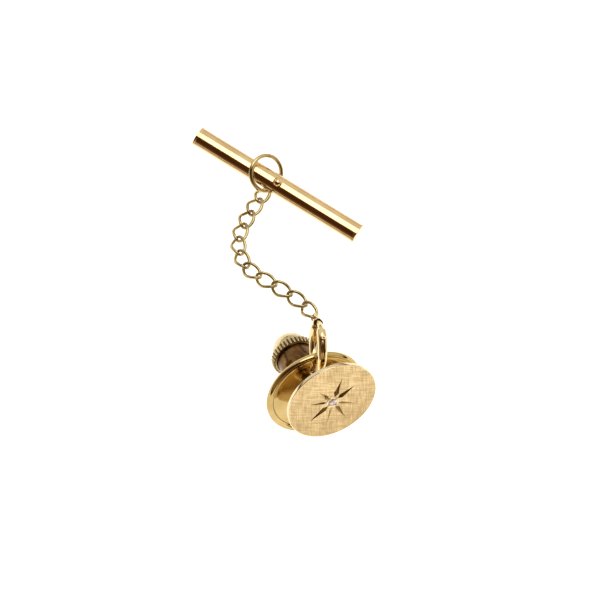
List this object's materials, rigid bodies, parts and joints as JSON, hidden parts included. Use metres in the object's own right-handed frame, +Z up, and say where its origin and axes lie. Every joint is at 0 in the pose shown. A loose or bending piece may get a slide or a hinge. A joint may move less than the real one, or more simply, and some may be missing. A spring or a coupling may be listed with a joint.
{
  "type": "tie tack",
  "caption": "Round tie tack with a star-cut front and a small set stone, pin, dished ball-lock clutch, and a spring-ring clasp with a curb chain and bar.",
  "frame": {"origin": "middle of the footprint, at the table", "axes": "+Z up from the table; the tack is at -Y with its face turned towards -Y and up, and the bar lies at +Y"},
  "size_m": [0.019, 0.0346, 0.0119],
  "materials": {
    "brushed_gold": "cross-brushed gold plate",
    "polished_gold": "polished gold plate",
    "satin_gold": "satin gold plate",
    "steel": "hard bright steel",
    "stone": "clear faceted stone"
  },
  "bodies": {
    "head": {"front_plate": "brushed_gold", "stone_setting": "polished_gold", "stone": "stone", "pin": "polished_gold", "pin_pad": "polished_gold"},
    "bush": {"guide_bush": "polished_gold"},
    "clutch": {"clutch_plate": "polished_gold", "clutch_barrel": "satin_gold", "taper_sleeve": "steel"},
    "knob": {"knob": "satin_gold", "ball_cage": "steel", "knob_spring": "steel"},
    "ball_1": {"ball_1": "steel"},
    "ball_2": {"ball_2": "steel"},
    "ball_3": {"ball_3": "steel"},
    "clasp": {"clasp_tube": "polished_gold", "clasp_eye": "polished_gold", "clasp_spring": "steel"},
    "bolt": {"clasp_bolt": "polished_gold"},
    "link_01": {"chain_link_01": "satin_gold"},
    "link_02": {"chain_link_02": "satin_gold"},
    "link_03": {"chain_link_03": "satin_gold"},
    "link_04": {"chain_link_04": "satin_gold"},
    "link_05": {"chain_link_05": "satin_gold"},
    "link_06": {"chain_link_06": "satin_gold"},
    "link_07": {"chain_link_07": "satin_gold"},
    "link_08": {"chain_link_08": "satin_gold"},
    "link_09": {"chain_link_09": "satin_gold"},
    "link_10": {"chain_link_10": "satin_gold"},
    "link_11": {"chain_link_11": "satin_gold"},
    "ring": {"bar_ring": "satin_gold"},
    "bar": {"bar": "polished_gold", "bar_stud": "polished_gold"}
  },
  "joints": [
    {"name": "clutch_slide", "type": "slide", "parent": "head", "child": "bush", "axis": [-0.3711, 0.8257, -0.4248], "range_m": [-0.0007, 0.0086]},
    {"name": "clutch_turn", "type": "hinge", "parent": "bush", "child": "clutch", "pos_m": [0.00323, -0.01281, 0.00478], "axis": [-0.3711, 0.8257, -0.4248], "continuous": true},
    {"name": "knob_pull", "type": "slide", "parent": "clutch", "child": "knob", "axis": [-0.3711, 0.8257, -0.4248], "range_m": [0, 0.0008], "stiffness_N_per_m": 150, "springref_m": -0.001, "deforming": ["knob_spring"]},
    {"name": "ball_1_out", "type": "slide", "parent": "knob", "child": "ball_1", "axis": [-0.1741, 0.3874, 0.9053], "range_m": [0, 0.000145]},
    {"name": "ball_2_out", "type": "slide", "parent": "knob", "child": "ball_2", "axis": [-0.7029, -0.5487, -0.4526], "range_m": [0, 0.000145]},
    {"name": "ball_3_out", "type": "slide", "parent": "knob", "child": "ball_3", "axis": [0.877, 0.1613, -0.4526], "range_m": [0, 0.000145]},
    {"name": "clasp_swing", "type": "hinge", "parent": "clutch", "child": "clasp", "pos_m": [0.00353, -0.01116, 0.00739], "axis": [0.9816, 0.0684, -0.1781], "range_deg": [0, 25]},
    {"name": "bolt_slide", "type": "hinge", "parent": "clasp", "child": "bolt", "pos_m": [0.00362, -0.00919, 0.00862], "axis": [0.9816, 0.0684, -0.1781], "range_deg": [0, 48], "stiffness_Nm_per_rad": 0.00003, "springref_deg": -28.65, "deforming": ["clasp_spring"]},
    {"name": "link_01_sideways", "type": "hinge", "parent": "clasp", "child": "link_01", "pos_m": [0.00315, -0.00573, 0.00773], "axis": [-0.2208, 0.3686, 0.903], "range_deg": [-14, 14]},
    {"name": "link_02_up_and_down", "type": "hinge", "parent": "link_01", "child": "link_02", "pos_m": [0.00222, -0.00419, 0.00687], "axis": [-0.6233, -0.782, 0], "range_deg": [-20, 20]},
    {"name": "link_03_sideways", "type": "hinge", "parent": "link_02", "child": "link_03", "pos_m": [0.00069, -0.00296, 0.00652], "axis": [-0.1357, 0.0994, 0.9858], "range_deg": [-16, 16]},
    {"name": "link_04_up_and_down", "type": "hinge", "parent": "link_03", "child": "link_04", "pos_m": [-0.0009, -0.0018, 0.00619], "axis": [-0.5471, -0.8371, 0], "range_deg": [-20, 20]},
    {"name": "link_05_sideways", "type": "hinge", "parent": "link_04", "child": "link_05", "pos_m": [-0.00253, -0.00074, 0.00574], "axis": [-0.2136, 0.2099, 0.9541], "range_deg": [-16, 16]},
    {"name": "link_06_up_and_down", "type": "hinge", "parent": "link_05", "child": "link_06", "pos_m": [-0.00389, 0.0006, 0.00514], "axis": [-0.9338, -0.3578, 0], "range_deg": [-20, 20]},
    {"name": "link_07_sideways", "type": "hinge", "parent": "link_06", "child": "link_07", "pos_m": [-0.00455, 0.00233, 0.0044], "axis": [-0.0292, 0.3936, 0.9188], "range_deg": [-16, 16]},
    {"name": "link_08_up_and_down", "type": "hinge", "parent": "link_07", "child": "link_08", "pos_m": [-0.00469, 0.00416, 0.00361], "axis": [-0.9592, 0.2826, 0], "range_deg": [-20, 20]},
    {"name": "link_09_sideways", "type": "hinge", "parent": "link_08", "child": "link_09", "pos_m": [-0.00417, 0.00593, 0.00283], "axis": [0.1536, 0.3439, 0.9264], "range_deg": [-16, 16]},
    {"name": "link_10_up_and_down", "type": "hinge", "parent": "link_09", "child": "link_10", "pos_m": [-0.00341, 0.00761, 0.00208], "axis": [-0.8803, 0.4745, 0], "range_deg": [-20, 20]},
    {"name": "link_11_sideways", "type": "hinge", "parent": "link_10", "child": "link_11", "pos_m": [-0.00253, 0.00925, 0.00134], "axis": [-0.0574, 0.4381, 0.8971], "range_deg": [-14, 14]},
    {"name": "ring_swing", "type": "hinge", "parent": "link_11", "child": "ring", "pos_m": [-0.00187, 0.01048, 0.00078], "axis": [0, 0, 1], "range_deg": [-10, 10]},
    {"name": "bar_slide", "type": "slide", "parent": "ring", "child": "bar", "axis": [0.8387, -0.5446, 0], "range_m": [-0.002, 0.006]}
  ],
  "couplings": [
    {"joint": "ball_1_out", "follows": "knob_pull", "ratio": 0.17633},
    {"joint": "ball_2_out", "follows": "knob_pull", "ratio": 0.17633},
    {"joint": "ball_3_out", "follows": "knob_pull", "ratio": 0.17633}
  ]
}
